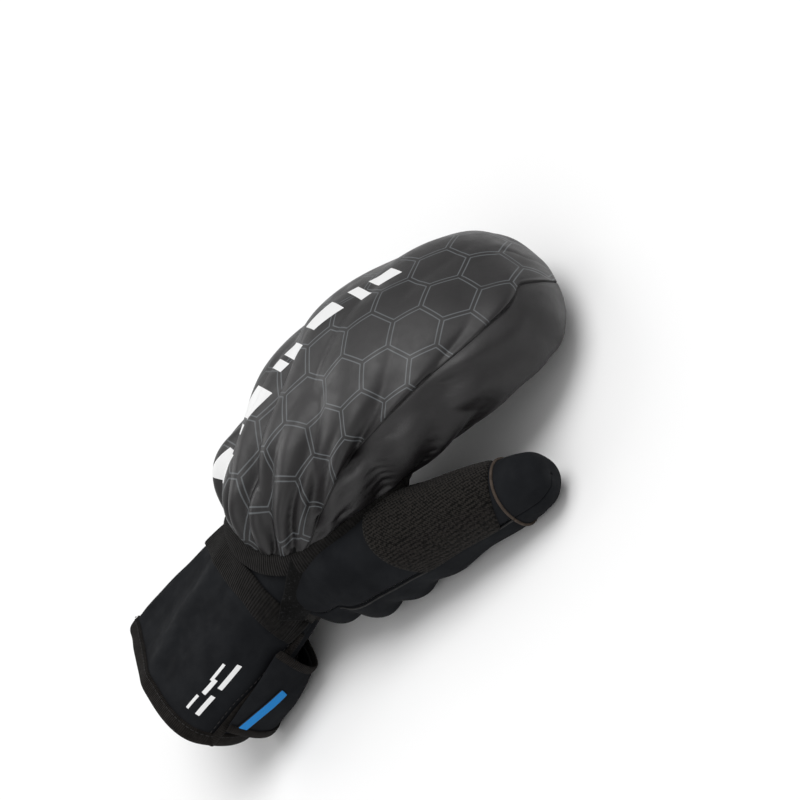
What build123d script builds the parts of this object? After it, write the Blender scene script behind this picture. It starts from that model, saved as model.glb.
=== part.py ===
from build123d import *
from math import cos, degrees, pi, radians, sin
import os

# A left-hand ski mitten of the convertible kind: an insulated glove with four fingers and a thumb,
# and a thin over-mitt hood that covers the fingers and turns back onto the wrist.
# It lies palm down. X points to the thumb side, Y to the fingertips, Z out of the back of the hand.

# ---- driving sizes: mm and degrees ----
CUFF_RUN = 60  # straight sleeve, from the cuff mouth to the wrist
WRIST_RUN = 26  # the wrist bends back over this run
WRIST_BEND = 9
PALM_RUN = 56  # straight run of the palm
FINGER_RUN = 136  # the fingers curl over this run
FINGER_RADIUS = 149  # radius of that curl
MOUTH_SLANT = 19  # the cuff mouth is cut back on the palm side

MOUTH_WIDTH = 104
WRIST_WIDTH = 85
PALM_WIDTH = 98
CROTCH_WIDTH = 95  # across the four finger roots
MOUTH_ABOVE, MOUTH_BELOW = 22, 34  # heights over and under the centreline
WRIST_ABOVE, WRIST_BELOW = 22, 27
PALM_ABOVE, PALM_BELOW = 22, 25
CROTCH_ABOVE, CROTCH_BELOW = 14.5, 14.5
CROTCH_AT = 172  # finger roots, along the centreline

SHELL = 1.1  # outer fabric and leather
INSULATION = 1.2
LINING = 0.8
SEAM = 0.3  # air between neighbouring pieces, where thread pulls the real ones together

FINGER_NAMES = ("index", "middle", "ring", "little")
FINGER_LENGTHS = (80, 88, 82, 64)
FINGER_HEIGHT = 25
FINGER_GAP = 0.6
FINGER_TAPER = 0.86  # fingertip width over root width
FINGER_BURIED = 9  # the finger's tube starts this far inside the hand

THUMB_ROOT = (46, 113.5, 29.5)
THUMB_WAY = (0.428, 0.894, -0.136)
THUMB_SECTIONS = (  # distance from the root, half width, half height
    (-44, 9, 15),
    (-22, 19, 23),
    (0, 23.5, 25.5),
    (22, 22.5, 24.5),
    (46, 20.5, 22),
    (70, 18, 19),
    (93, 15.5, 16.5),
)
THUMB_LENGTH = 120
THUMB_TIP_AT = 96  # seam of the tip piece

HOOD_FABRIC = 1.0
HOOD_THUMB_EASE, HOOD_LITTLE_EASE = 8, 15  # its sides stand this far off the finger roots
HOOD_ABOVE, HOOD_BELOW = 41, 27  # over and under the centreline, at the knuckles
HOOD_BEYOND = 15  # the hood's end passes the middle fingertip by this much
HOOD_GAP = 0.6  # least clearance from the glove
HEM_BACK_AT = 84  # hood hem, along the centreline, on the back of the wrist
HEM_PALM_AT = 158  # and across the palm
HEM_SKEW = 14  # degrees that the hem leans forward on the thumb side
HEM_WIDTH = 10
GUSSET_ABOVE, GUSSET_BELOW = 18, 11  # the plain strip round the hood's edge

BINDING_WIDTH = 7
BINDING = 1.2
BAND_WIDTH = 15
BAND = 1.3
BAND_LITTLE_AT, BAND_THUMB_AT = 55, 90  # the wrist band's ends, on the two sides
STRAP_LENGTH = 44
STRAP_LOW, STRAP_HIGH = 11, 24
EDGE_LIFT = 8  # bound edge of the cuff's back, over the centreline
EDGE_WIDTH = 6

PATCH = 0.9  # loop patch, hook patch
TAB = 1.4
TAB_GAP = 0.4  # between loop patch and hook patch
TAB_START, TAB_END = 13, 56  # along the sleeve
TAB_FREE_X = -9  # rounded free end, on the palm side
TAB_END_HEIGHT = 33  # of the rounded end
TAB_TRIM = 4  # bound border
TAB_TRIM_BUILD = 0.5
LABEL_LENGTH, LABEL_WIDTH = 28, 6
LABEL = 0.6

WIPE = 1.2
WIPE_FROM, WIPE_TO = 12, 92  # along the thumb
REINFORCEMENT = 1.0
ELASTIC_WIDTH = 9

FULLNESS = 2.3  # 2 is an ellipse; more has fuller shoulders
OUTLINE_POINTS = 12
REACH = 150  # larger than any half of the glove
CRUMB = 6  # a loose chip of a cut under this many cubic millimetres is dropped

WRIST_AT = CUFF_RUN + WRIST_RUN / 2
PALM_AT = CUFF_RUN + WRIST_RUN + PALM_RUN * 0.6
LAYERS = (  # each layer's outer and inner face, in from the glove's surface
    (0, SHELL),
    (SHELL + SEAM, SHELL + SEAM + INSULATION),
    (SHELL + INSULATION + 2 * SEAM, SHELL + INSULATION + 2 * SEAM + LINING),
)
INSIDE = LAYERS[-1][1]
RUNS = (
    (CUFF_RUN, 0),
    (WRIST_RUN, WRIST_BEND),
    (PALM_RUN, 0),
    (FINGER_RUN, -degrees(FINGER_RUN / FINGER_RADIUS)),
)


# ---- the centreline and its sections ----
def spine_plane(s, x=0.0):
    """The section plane at distance s: local x to the thumb side, local y out of the back."""
    y, z, heading, left = 0.0, MOUTH_BELOW + BINDING, 0.0, s
    for number, (length, turn) in enumerate(RUNS):
        last = number == len(RUNS) - 1
        step = left if last else min(left, length)
        bend = radians(turn) * step / length
        chord = step if turn == 0 else 2 * step / bend * sin(bend / 2) if bend else 0.0
        y += chord * cos(radians(heading) + bend / 2)
        z += chord * sin(radians(heading) + bend / 2)
        heading += degrees(bend)
        left -= step
        if left <= 0 and not last:
            break
    way = (0, -cos(radians(heading)), -sin(radians(heading)))
    return Plane(origin=(x, y, z), x_dir=(1, 0, 0), z_dir=way)


def spine_point(s, lift=0.0):
    return spine_plane(s).from_local_coords((0, lift))


def outline(plane, half_width, above, below):
    """A closed soft-cornered oval with its own heights over and under the plane's x axis."""
    points = []
    for number in range(OUTLINE_POINTS):
        turn = 2 * pi * number / OUTLINE_POINTS
        across, up = cos(turn), sin(turn)
        height = above if up > 0 else below
        x = half_width * abs(across) ** (2 / FULLNESS) * (1 if across > 0 else -1)
        y = height * abs(up) ** (2 / FULLNESS) * (1 if up > 0 else -1)
        points.append(plane.from_local_coords((x, y)))
    return Face(Wire(Edge.make_spline(points, periodic=True)))


def skin(sections, inset):
    """The solid inside a run of sections, each drawn in by inset, or let out if it's negative."""
    faces = [outline(p, w - inset, a - inset, b - inset) for p, w, a, b in sections]
    return loft(faces)


def block(x0, x1, y0, y1, z0, z1):
    size = (x1 - x0, y1 - y0, z1 - z0)
    return Pos((x0 + x1) / 2, (y0 + y1) / 2, (z0 + z1) / 2) * Box(*size)


def beyond(plane, depth=4 * REACH):
    """Everything on the plane's z side, as far as depth."""
    low = (Align.CENTER, Align.CENTER, Align.MIN)
    return plane * Box(6 * REACH, 6 * REACH, depth, align=low)


def back_side(lift):
    """Everything on the back of the hand side of the centreline, moved out by lift."""
    stops = [0]
    for length, _ in RUNS:
        stops.append(stops[-1] + length)
    stops[0] = -REACH / 2
    edges = []
    for number, (length, turn) in enumerate(RUNS):
        start, end = stops[number], stops[number + 1]
        a, b = spine_point(start, lift), spine_point(end, lift)
        middle = spine_point((start + end) / 2, lift)
        edges += (Line(a, b) if turn == 0 else ThreePointArc(a, middle, b)).edges()
    tail = spine_plane(stops[-1])
    past = spine_point(stops[-1], lift) - tail.z_dir * REACH / 2
    first = spine_point(stops[0], lift)
    corners = (edges[-1] @ 1, past, (0, past.Y, 2 * REACH), (0, first.Y, 2 * REACH), first)
    edges += Polyline(*corners).edges()
    return extrude(Face(Wire(edges)), amount=REACH, dir=(1, 0, 0), both=True)


def only(shape, what):
    """One clean shape out of a cut, without the stray crumbs that it leaves."""
    kept = [s for s in shape.solids() if s.volume > CRUMB]
    assert kept, what
    return kept[0] if len(kept) == 1 else Compound(kept)


# ---- hand, thumb and fingers: nested solids, one for each face of the layers ----
def hand_sections(inset):
    mid_cuff = CUFF_RUN * 0.45
    rows = (
        (-18, MOUTH_WIDTH, MOUTH_ABOVE, MOUTH_BELOW),
        (5, MOUTH_WIDTH, MOUTH_ABOVE, MOUTH_BELOW),
        (
            mid_cuff,
            (MOUTH_WIDTH * 0.7 + WRIST_WIDTH * 0.3),
            (MOUTH_ABOVE + WRIST_ABOVE) / 2,
            (MOUTH_BELOW * 0.7 + WRIST_BELOW * 0.3),
        ),
        (WRIST_AT, WRIST_WIDTH, WRIST_ABOVE, WRIST_BELOW),
        (PALM_AT, PALM_WIDTH, PALM_ABOVE, PALM_BELOW),
        (
            (PALM_AT + CROTCH_AT) / 2,
            (PALM_WIDTH + CROTCH_WIDTH) / 2,
            (PALM_ABOVE + CROTCH_ABOVE) / 2 + 1,
            (PALM_BELOW + CROTCH_BELOW) / 2 + 1,
        ),
        (CROTCH_AT - inset, CROTCH_WIDTH, CROTCH_ABOVE, CROTCH_BELOW),
    )
    return [(spine_plane(s), w / 2, a, b) for s, w, a, b in rows]


def rounded_end(length, half_width, half_height):
    """Three sections that close a tube of this length into a blunt round end."""
    shares = ((0.9, 0.93), (0.45, 0.76), (0.06, 0.4))
    return [(length - half_width * back, half_width * k, half_height * k) for back, k in shares]


def finger_sections(number, inset):
    place = 1.5 - number
    pitch = CROTCH_WIDTH / len(FINGER_NAMES)
    half_width = (pitch - FINGER_GAP) / 2
    half_height = FINGER_HEIGHT / 2
    length = FINGER_LENGTHS[number]
    rows = [(-FINGER_BURIED, half_width, half_height), (2, half_width, half_height)]
    taper = (1 + FINGER_TAPER) / 2
    rows.append((length * 0.45, half_width * taper, half_height * taper))
    end = rounded_end(length - inset, half_width * FINGER_TAPER, half_height * FINGER_TAPER)
    return [(spine_plane(CROTCH_AT + s, place * pitch), w, h, h) for s, w, h in rows + end]


def thumb_plane(distance):
    way = Vector(*THUMB_WAY).normalized()
    side = way.cross(Vector(0, 0, 1)).normalized()
    return Plane(origin=Vector(*THUMB_ROOT) + way * distance, x_dir=side, z_dir=-way)


def thumb_sections(inset):
    end = rounded_end(THUMB_LENGTH - inset, *THUMB_SECTIONS[-1][1:])
    return [(thumb_plane(s), w, h, h) for s, w, h in [*THUMB_SECTIONS, *end[1:]]]


def mouth_plane():
    """The cuff's cut edge, facing the hand."""
    slant = radians(MOUTH_SLANT)
    low = Vector(0, MOUTH_BELOW * sin(slant), 0)
    return Plane(origin=low, x_dir=(1, 0, 0), z_dir=(0, cos(slant), sin(slant)))


made = {}


def hand(inset):
    """The solid inside the hand and sleeve, drawn in by inset."""
    if ("hand", inset) not in made:
        made["hand", inset] = skin(hand_sections(inset), inset)
    return made["hand", inset]


def thumb(inset):
    if ("thumb", inset) not in made:
        made["thumb", inset] = skin(thumb_sections(inset), inset)
    return made["thumb", inset]


def finger(number, inset):
    if (number, inset) not in made:
        made[number, inset] = skin(finger_sections(number, inset), inset)
    return made[number, inset]


def slice_off(plane, start, end):
    """The slab between two distances along the plane's z direction."""
    return beyond(Plane(plane.origin + plane.z_dir * start, z_dir=plane.z_dir), end - start)


def across_spine(s):
    """The section plane at s, facing the fingertips."""
    plane = spine_plane(s)
    return Plane(plane.origin, z_dir=-plane.z_dir)


OVER, UNDER = back_side(SEAM / 2), back_side(-SEAM / 2)
SLEEVE = beyond(mouth_plane())
nodes = {}


def hand_layer(k):
    outer, inner = LAYERS[k]
    layer = (hand(outer) - hand(inner)) & SLEEVE
    layer -= thumb(inner)
    for number in range(len(FINGER_NAMES)):
        layer -= finger(number, inner)
    return layer


def thumb_layer(k):
    outer, inner = LAYERS[k]
    return thumb(outer) - thumb(inner) - hand(outer - SEAM)


def finger_layer(number, k):
    outer, inner = LAYERS[k]
    return finger(number, outer) - finger(number, inner) - hand(outer - SEAM)


def make_shell():
    layer = hand_layer(0)
    wrist = across_spine(WRIST_AT)
    sleeve_part = slice_off(wrist, -2 * REACH, -SEAM / 2)
    hand_part = slice_off(wrist, SEAM / 2, 2 * REACH)
    for side, panel in {"back": layer & OVER, "palm": layer - UNDER}.items():
        nodes[f"cuff_{side}_panel"] = only(panel & sleeve_part, side)
        nodes[f"hand_{side}_panel"] = only(panel & hand_part, side)
    for number, name in enumerate(FINGER_NAMES):
        tube = finger_layer(number, 0)
        nodes[f"{name}_finger_back"] = only(tube & OVER, name)
        nodes[f"{name}_finger_palm"] = only(tube - UNDER, name)


def make_thumb():
    layer = thumb_layer(0)
    level = thumb_plane(0)
    along = Plane(level.origin, z_dir=-level.z_dir)
    rising = Plane(level.origin, z_dir=level.y_dir)
    upper, lower = slice_off(rising, SEAM / 2, REACH), slice_off(rising, -REACH, -SEAM / 2)
    nodes["thumb_tip"] = only(layer & slice_off(along, THUMB_TIP_AT + SEAM, REACH), "thumb tip")
    tube = layer & slice_off(along, -REACH, THUMB_TIP_AT)
    nodes["thumb_back"] = only(tube & upper, "thumb back")
    nodes["thumb_palm"] = only(tube & lower, "thumb palm")
    patch = thumb(-WIPE - SEAM) - thumb(-SEAM) - hand(-2 * BAND)
    nodes["thumb_wipe_patch"] = only(patch & upper & slice_off(along, WIPE_FROM, WIPE_TO), "wipe")


def make_inside():
    elastic = slice_off(across_spine(WRIST_AT), 0, ELASTIC_WIDTH)
    around = slice_off(across_spine(WRIST_AT), -SEAM, ELASTIC_WIDTH + SEAM)
    insulation = hand_layer(1)
    nodes["wrist_elastic"] = only((insulation & elastic) - UNDER, "elastic")
    nodes["insulation_hand"] = only(insulation - (around - OVER), "insulation")
    nodes["lining_hand"] = only(hand_layer(2), "lining")
    nodes["insulation_thumb"] = only(thumb_layer(1), "insulation thumb")
    nodes["lining_thumb"] = only(thumb_layer(2), "lining thumb")
    for number, name in enumerate(FINGER_NAMES):
        nodes[f"insulation_{name}"] = only(finger_layer(number, 1), name)
        nodes[f"lining_{name}"] = only(finger_layer(number, 2), name)


def sleeve_coat(inner, outer):
    """A layer of fabric on the outside of the hand, between two heights over it."""
    return hand(-outer) - hand(-inner)


def make_trims():
    mouth = mouth_plane()
    wrap = hand(-SEAM - BINDING) - hand(INSIDE + SEAM + BINDING)
    wrap &= slice_off(mouth, -SEAM - BINDING, BINDING_WIDTH)
    layers = (hand(-SEAM) - hand(INSIDE + SEAM)) & slice_off(mouth, -SEAM, REACH)
    nodes["cuff_hem_binding"] = only(wrap - layers, "binding")

    coat = sleeve_coat(SEAM, SEAM + BAND)
    run = Vector(WRIST_WIDTH, BAND_THUMB_AT - BAND_LITTLE_AT, 0).normalized()
    middle = Vector(0, (BAND_THUMB_AT + BAND_LITTLE_AT) / 2, 0)
    band = Plane(middle, z_dir=Vector(-run.Y, run.X, 0))
    half = BAND_WIDTH / 2
    strip = (coat & slice_off(band, -half, half) & OVER) - thumb(-SEAM)
    nodes["wrist_band"] = only(strip, "band")
    clear = slice_off(band, -half - SEAM, half + SEAM)

    top = spine_point(WRIST_AT).Z
    start = BAND_THUMB_AT + half + 2
    strap = block(0, REACH, start, start + STRAP_LENGTH, top + STRAP_LOW, top + STRAP_HIGH)
    nodes["hood_anchor_strap"] = only((coat & strap) - thumb(-SEAM) - clear, "strap")

    low = spine_point(0).Z + EDGE_LIFT
    start = BINDING_WIDTH * 1.4
    edge = block(0, REACH, start, WRIST_AT - 8, low, low + EDGE_WIDTH)
    nodes["cuff_edge_binding"] = only((coat & edge) - clear, "edge binding")

    coat = sleeve_coat(SEAM, SEAM + REINFORCEMENT) - OVER - thumb(-SEAM)
    ends = (WRIST_AT + 18, CROTCH_AT - 30)
    patch = block(-PALM_WIDTH * 0.3, PALM_WIDTH * 0.22, *ends, -REACH, REACH)
    patch = fillet(patch.edges().filter_by(Axis.Z), 9)
    nodes["palm_reinforcement"] = only(coat & patch, "reinforcement")


def tab_outline(border):
    """The closure tab seen from below: tall at the sleeve's edge, with a rounded free end."""
    middle = (TAB_START + TAB_END) / 2
    half_root = (TAB_END - TAB_START) / 2 - border
    half_end = TAB_END_HEIGHT / 2 - border
    free = TAB_FREE_X + border
    root = MOUTH_WIDTH
    corner = free + half_end * 0.9
    line = Polyline((corner, middle - half_end), (root, middle - half_root), (root, middle + half_root))
    line += Line((root, middle + half_root), (corner, middle + half_end))
    bulge = ThreePointArc((corner, middle + half_end), (free, middle), (corner, middle - half_end))
    return extrude(Face(Wire([*line.edges(), bulge])), amount=spine_point(0).Z + EDGE_LIFT - 1)


def make_tab():
    hook = SEAM + PATCH + TAB_GAP
    inner = hook + PATCH + SEAM
    outer = inner + TAB
    nodes["tab_panel"] = only(sleeve_coat(inner, outer) & tab_outline(TAB_TRIM), "tab")
    trim = sleeve_coat(inner - TAB_TRIM_BUILD, outer + TAB_TRIM_BUILD) & tab_outline(0)
    nodes["tab_binding"] = only(trim - tab_outline(TAB_TRIM - SEAM), "tab binding")
    middle = (TAB_START + TAB_END) / 2
    ends = TAB_END_HEIGHT / 2 - TAB_TRIM - 2
    x0, x1 = TAB_FREE_X + 12, TAB_FREE_X + 42
    hooks = block(x0, x1, middle - ends, middle + ends, -REACH, spine_point(0).Z)
    nodes["tab_hook_patch"] = only(sleeve_coat(hook, hook + PATCH) & hooks, "hooks")
    loops = block(x0 - 16, x1, middle - ends, middle + ends, -REACH, spine_point(0).Z)
    nodes["cuff_loop_patch"] = only(sleeve_coat(SEAM, SEAM + PATCH) & loops, "loops")
    top = spine_point(0).Z + EDGE_LIFT - 6
    half = LABEL_LENGTH / 2
    tag = block(0, REACH, middle - half, middle + half, top - LABEL_WIDTH, top)
    coat = sleeve_coat(outer + SEAM, outer + SEAM + LABEL)
    nodes["tab_label"] = only(coat & tag, "label")


# ---- the hood ----
def hood_sections(inset):
    lean = (HOOD_THUMB_EASE - HOOD_LITTLE_EASE) / 2
    half_width = (CROTCH_WIDTH + HOOD_THUMB_EASE + HOOD_LITTLE_EASE) / 2
    end = CROTCH_AT + max(FINGER_LENGTHS) + HOOD_BEYOND
    tail = end - CROTCH_AT
    rows = (  # place, then shares of the half width and of the heights above and below
        (HEM_BACK_AT - 12, 0.76, 0.66, 0.7),
        (HEM_BACK_AT + 12, 0.88, 0.88, 0.9),
        ((HEM_BACK_AT + CROTCH_AT) / 2 + 10, 1.0, 1.0, 1.0),
        (CROTCH_AT, 1.02, 0.97, 0.82),
        (CROTCH_AT + tail * 0.35, 1.0, 0.89, 0.7),
        (CROTCH_AT + tail * 0.62, 0.93, 0.77, 0.64),
        (CROTCH_AT + tail * 0.82, 0.81, 0.6, 0.55),
        (CROTCH_AT + tail * 0.94 - inset, 0.57, 0.39, 0.4),
        (end - inset, 0.29, 0.2, 0.2),
    )
    w, a, b = half_width, HOOD_ABOVE, HOOD_BELOW
    return [(spine_plane(s, lean), w * i, a * j, b * k) for s, i, j, k in rows]


def hem_plane():
    """The hood's open edge, facing the fingertips."""
    back, palm = spine_point(HEM_BACK_AT, HOOD_ABOVE * 0.75), spine_point(HEM_PALM_AT, -HOOD_BELOW)
    side = Vector(cos(radians(HEM_SKEW)), sin(radians(HEM_SKEW)), 0)
    way = side.cross(palm - back).normalized()
    way = way if way.Y > 0 else -way
    return Plane(origin=back, x_dir=side, z_dir=way)


def make_hood():
    cloth = skin(hood_sections(0), 0) - skin(hood_sections(HOOD_FABRIC), HOOD_FABRIC)
    gap = HOOD_GAP + BAND + SEAM
    cloth -= hand(-gap)
    cloth -= thumb(-gap - WIPE)
    edge = hem_plane()
    nodes["hood_hem_elastic"] = only(cloth & slice_off(edge, 0, HEM_WIDTH), "hem")
    mitt = cloth & slice_off(edge, HEM_WIDTH + SEAM, 2 * REACH)
    half = SEAM / 2
    nodes["hood_back_panel"] = only(mitt & back_side(GUSSET_ABOVE + half), "hood back")
    middle = (mitt & back_side(half - GUSSET_BELOW)) - back_side(GUSSET_ABOVE - half)
    nodes["hood_gusset"] = only(middle, "gusset")
    nodes["hood_palm_panel"] = only(mitt - back_side(-GUSSET_BELOW - half), "hood palm")


make_shell()
make_thumb()
make_inside()
make_trims()
make_tab()
make_hood()

# The origin is under the middle of the whole mitten, on the surface that it lies on.
whole = Compound(list(nodes.values())).bounding_box()
ORIGIN = Vector(whole.center().X, whole.center().Y, whole.min.Z)
os.makedirs("parts", exist_ok=True)
for name, shape in nodes.items():
    export_step(Pos(-ORIGIN) * shape, f"parts/{name}.step")
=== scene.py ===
import math

import bpy
import numpy as np
from mathutils import Matrix, Vector


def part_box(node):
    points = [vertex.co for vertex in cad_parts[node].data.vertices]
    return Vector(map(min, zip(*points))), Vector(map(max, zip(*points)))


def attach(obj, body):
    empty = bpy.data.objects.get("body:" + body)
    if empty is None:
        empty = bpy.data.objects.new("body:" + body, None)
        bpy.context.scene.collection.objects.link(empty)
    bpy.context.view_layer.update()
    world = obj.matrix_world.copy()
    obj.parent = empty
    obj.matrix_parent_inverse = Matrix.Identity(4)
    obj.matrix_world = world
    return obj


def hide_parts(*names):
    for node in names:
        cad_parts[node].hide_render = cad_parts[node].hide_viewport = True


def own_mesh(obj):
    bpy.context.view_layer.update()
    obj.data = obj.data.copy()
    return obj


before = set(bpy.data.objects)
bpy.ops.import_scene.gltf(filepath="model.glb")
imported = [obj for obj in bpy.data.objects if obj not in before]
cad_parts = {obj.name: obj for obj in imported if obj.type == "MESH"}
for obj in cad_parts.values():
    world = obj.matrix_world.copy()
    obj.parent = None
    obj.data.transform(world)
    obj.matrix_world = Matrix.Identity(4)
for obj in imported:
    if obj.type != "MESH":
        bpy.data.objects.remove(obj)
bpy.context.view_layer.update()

MM = 0.001

# ---- the glove's sizes, in millimetres and degrees, as the CAD model has them ----
CUFF_RUN, WRIST_RUN, WRIST_BEND, PALM_RUN = 60, 26, 9, 56
FINGER_RUN, FINGER_RADIUS = 136, 149
WRIST_AT = CUFF_RUN + WRIST_RUN / 2
PALM_AT = CUFF_RUN + WRIST_RUN + PALM_RUN * 0.6
CROTCH_AT = 172
MOUTH_SLANT = 19
FULLNESS = 2.3
HOOD_ABOVE, HOOD_BELOW = 41, 27
HOOD_END = CROTCH_AT + 88 + 15
HEM_BACK_AT = 84
THUMB_WAY = np.array([0.428, 0.894, -0.136])
THUMB_LENGTH = 120
FINGERS = {"index": 80, "middle": 88, "ring": 82, "little": 64}

hem_low, hem_high = (np.array(c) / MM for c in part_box("cuff_hem_binding"))
edge_low = np.array(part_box("cuff_edge_binding")[0]) / MM
MID_X = (hem_low[0] + hem_high[0]) / 2
Y0 = edge_low[1] - 9.8  # the centreline's start
Z0 = edge_low[2] - 8
THUMB_ROOT = np.array([46 + MID_X, 113.5 + Y0, Z0 - 5.7])


# ---- centreline and section arithmetic ----
_s = np.arange(-60, 340, 0.5)
_stops = np.cumsum([0, CUFF_RUN, WRIST_RUN, PALM_RUN])
_curl = np.degrees(1 / FINGER_RADIUS)
_heading = np.radians(
    np.interp(_s, [_stops[1], _stops[2]], [0, WRIST_BEND]) - np.clip(_s - _stops[3], 0, None) * _curl
)
_start = np.searchsorted(_s, 0)
_y = np.concatenate([[0], np.cumsum(np.cos(_heading[:-1]) * 0.5)])
_z = np.concatenate([[0], np.cumsum(np.sin(_heading[:-1]) * 0.5)])
_y, _z = _y - _y[_start] + Y0, _z - _z[_start] + Z0


def place(s, x, lift):
    """Row-frame millimetres of a point x to the thumb side and lift out of the back, at distance s."""
    s, x, lift = np.broadcast_arrays(np.asarray(s, float), x, lift)
    h = np.interp(s, _s, _heading)
    y = np.interp(s, _s, _y) - np.sin(h) * lift
    z = np.interp(s, _s, _z) + np.cos(h) * lift
    return np.stack([x + MID_X, y, z], axis=-1)


def oval(theta, width, above, below, fullness=FULLNESS):
    c, s = np.cos(theta), np.sin(theta)
    x = width * np.sign(c) * np.abs(c) ** (2 / fullness)
    lift = np.where(s > 0, above, below) * np.sign(s) * np.abs(s) ** (2 / fullness)
    return x, lift


def smooth_table(s, rows):
    """Half width, height above and height below at s, eased through the rows."""
    rows = np.array(rows, float)
    out = []
    for column in (1, 2, 3):
        k = np.gradient(rows[:, column], rows[:, 0])
        i = np.clip(np.searchsorted(rows[:, 0], s) - 1, 0, len(rows) - 2)
        x0, x1 = rows[i, 0], rows[i + 1, 0]
        t = np.clip((s - x0) / (x1 - x0), 0, 1)
        a, b, d = rows[i, column], rows[i + 1, column], x1 - x0
        h = (2 * t**3 - 3 * t**2 + 1) * a + (t**3 - 2 * t**2 + t) * d * k[i]
        out.append(h + (3 * t**2 - 2 * t**3) * b + (t**3 - t**2) * d * k[i + 1])
    return out


HAND_ROWS = [
    (-18, 52, 22, 34), (5, 52, 22, 34), (27, 49, 22, 32), (WRIST_AT, 42.5, 22, 27),
    (PALM_AT, 49, 22, 25), (146, 48.2, 19, 20.7), (CROTCH_AT, 47.5, 14.5, 14.5),
]
_tail = HOOD_END - CROTCH_AT
HOOD_LEAN = -3.5
HOOD_ROWS = [
    (s, 59 * w, HOOD_ABOVE * a, HOOD_BELOW * b) for s, w, a, b in (
        (HEM_BACK_AT - 12, 0.76, 0.66, 0.7), (HEM_BACK_AT + 12, 0.88, 0.88, 0.9),
        ((HEM_BACK_AT + CROTCH_AT) / 2 + 10, 1.0, 1.0, 1.0), (CROTCH_AT, 1.02, 0.97, 0.82),
        (CROTCH_AT + _tail * 0.35, 1.0, 0.89, 0.7), (CROTCH_AT + _tail * 0.62, 0.93, 0.77, 0.64),
        (CROTCH_AT + _tail * 0.82, 0.81, 0.6, 0.55), (CROTCH_AT + _tail * 0.94, 0.57, 0.39, 0.4),
        (HOOD_END, 0.29, 0.2, 0.2),
    )
]
THUMB_ROWS = [
    (-44, 7, 12, 12), (-22, 15.5, 20, 20), (0, 22.5, 25, 25), (22, 22.5, 24.5, 24.5),
    (46, 20.5, 22, 22), (70, 18, 19, 19), (93, 15.5, 16.5, 16.5), (106, 14, 14.5, 14.5),
    (114, 11, 11.5, 11.5), (118.5, 6.5, 7, 7),
]


def fold(s, theta, at_s, at_theta, along, around, height, lean=0.0):
    """A soft ridge (or a dip) centred on the surface at (at_s, at_theta degrees)."""
    t = np.degrees(theta) - at_theta - lean * (s - at_s)
    t = (t + 180) % 360 - 180
    return height * np.exp(-(((s - at_s) / along) ** 2) - (t / around) ** 2)


def hand_point(s, theta, out=0.0):
    """The glove's hand and sleeve, with the folds that its fabric takes, moved out by out."""
    s, theta, out = np.broadcast_arrays(np.asarray(s, float), theta, out)
    w, a, b = smooth_table(s, HAND_ROWS)
    d = out + fold(s, theta, 22, 88, 34, 7, 2.6, 0.25) + fold(s, theta, 12, 128, 42, 6, 3.0, 0.1)
    d = d - fold(s, theta, 24, 108, 30, 9, 1.6, 0.2) - fold(s, theta, 58, 60, 9, 22, 1.6)
    d = d + fold(s, theta, 48, 45, 8, 16, 1.4) + fold(s, theta, 30, 158, 22, 6, 1.2)
    near_wrist = np.exp(-(((s - WRIST_AT) / 11) ** 2))
    palm = np.clip(-np.sin(theta) + 0.35, 0, 1)
    d = d + near_wrist * palm * (1.3 * np.sin(theta * 26 + np.sin(s * 0.3)) - 1.2)
    d = d + 0.25 * np.sin(s * 0.21 + 3 * np.sin(theta * 2)) * np.sin(theta * 5 + s * 0.05)
    x, lift = oval(theta, w + d, a + d, b + d)
    return place(s, x, lift)


def thumb_axes():
    side = np.cross(THUMB_WAY, [0, 0, 1])
    side = side / np.linalg.norm(side)
    return side, np.cross(side, THUMB_WAY)


def thumb_point(s, theta, out=0.0):
    """The thumb: theta 0 is its outer side, 90 degrees its back."""
    s, theta, out = np.broadcast_arrays(np.asarray(s, float), theta, out)
    w, a, b = smooth_table(s, THUMB_ROWS)
    d = out + fold(s, theta, 2, -50, 9, 40, 3.2) - fold(s, theta, 14, -55, 4.5, 35, 2.6)
    d = d + fold(s, theta, 26, -55, 8, 38, 2.4) - fold(s, theta, 37, -60, 4.5, 30, 1.6)
    d = d + fold(s, theta, 50, -60, 10, 40, 1.5) - fold(s, theta, -9, -35, 4.5, 40, 3.0)
    d = d + fold(s, theta, -20, -30, 8, 45, 3.5) + 0.3 * np.sin(s * 0.17 + 2 * np.sin(theta))
    x, lift = oval(theta, w + d, a + d, b + d, 2.15)
    side, up = thumb_axes()
    way = THUMB_WAY / np.linalg.norm(THUMB_WAY)
    return THUMB_ROOT + s[..., None] * way + x[..., None] * side + lift[..., None] * up


def finger_point(number, length, s, theta, out=0.0):
    s, theta, out = np.broadcast_arrays(np.asarray(s, float), theta, out)
    w = (23.75 - 0.6) / 2
    end = length - w * 0.86
    taper = np.interp(s, [0, length * 0.45, end], [1, 0.93, 0.86])
    tip = np.sqrt(np.clip(1 - (np.clip(s - end, 0, None) / (length - end)) ** 2, 0.0004, 1))
    crease = sum(fold(s, theta, length * k, 90, 1.6, 60, -0.7) for k in (0.3, 0.62))
    d = out + crease
    x, lift = oval(theta, (w + d) * taper * tip, (12.5 + d) * taper * tip, (12.5 + d) * taper * tip, 2.1)
    return place(CROTCH_AT + s, x + (1.5 - number) * 23.75, lift)


# ---- mesh helpers ----
def unit(v):
    return v / np.maximum(np.linalg.norm(v, axis=-1, keepdims=True), 1e-9)


def grid_normals(p):
    du, dv = np.gradient(p, axis=0), np.gradient(p, axis=1)
    return unit(np.cross(du, dv))


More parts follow.
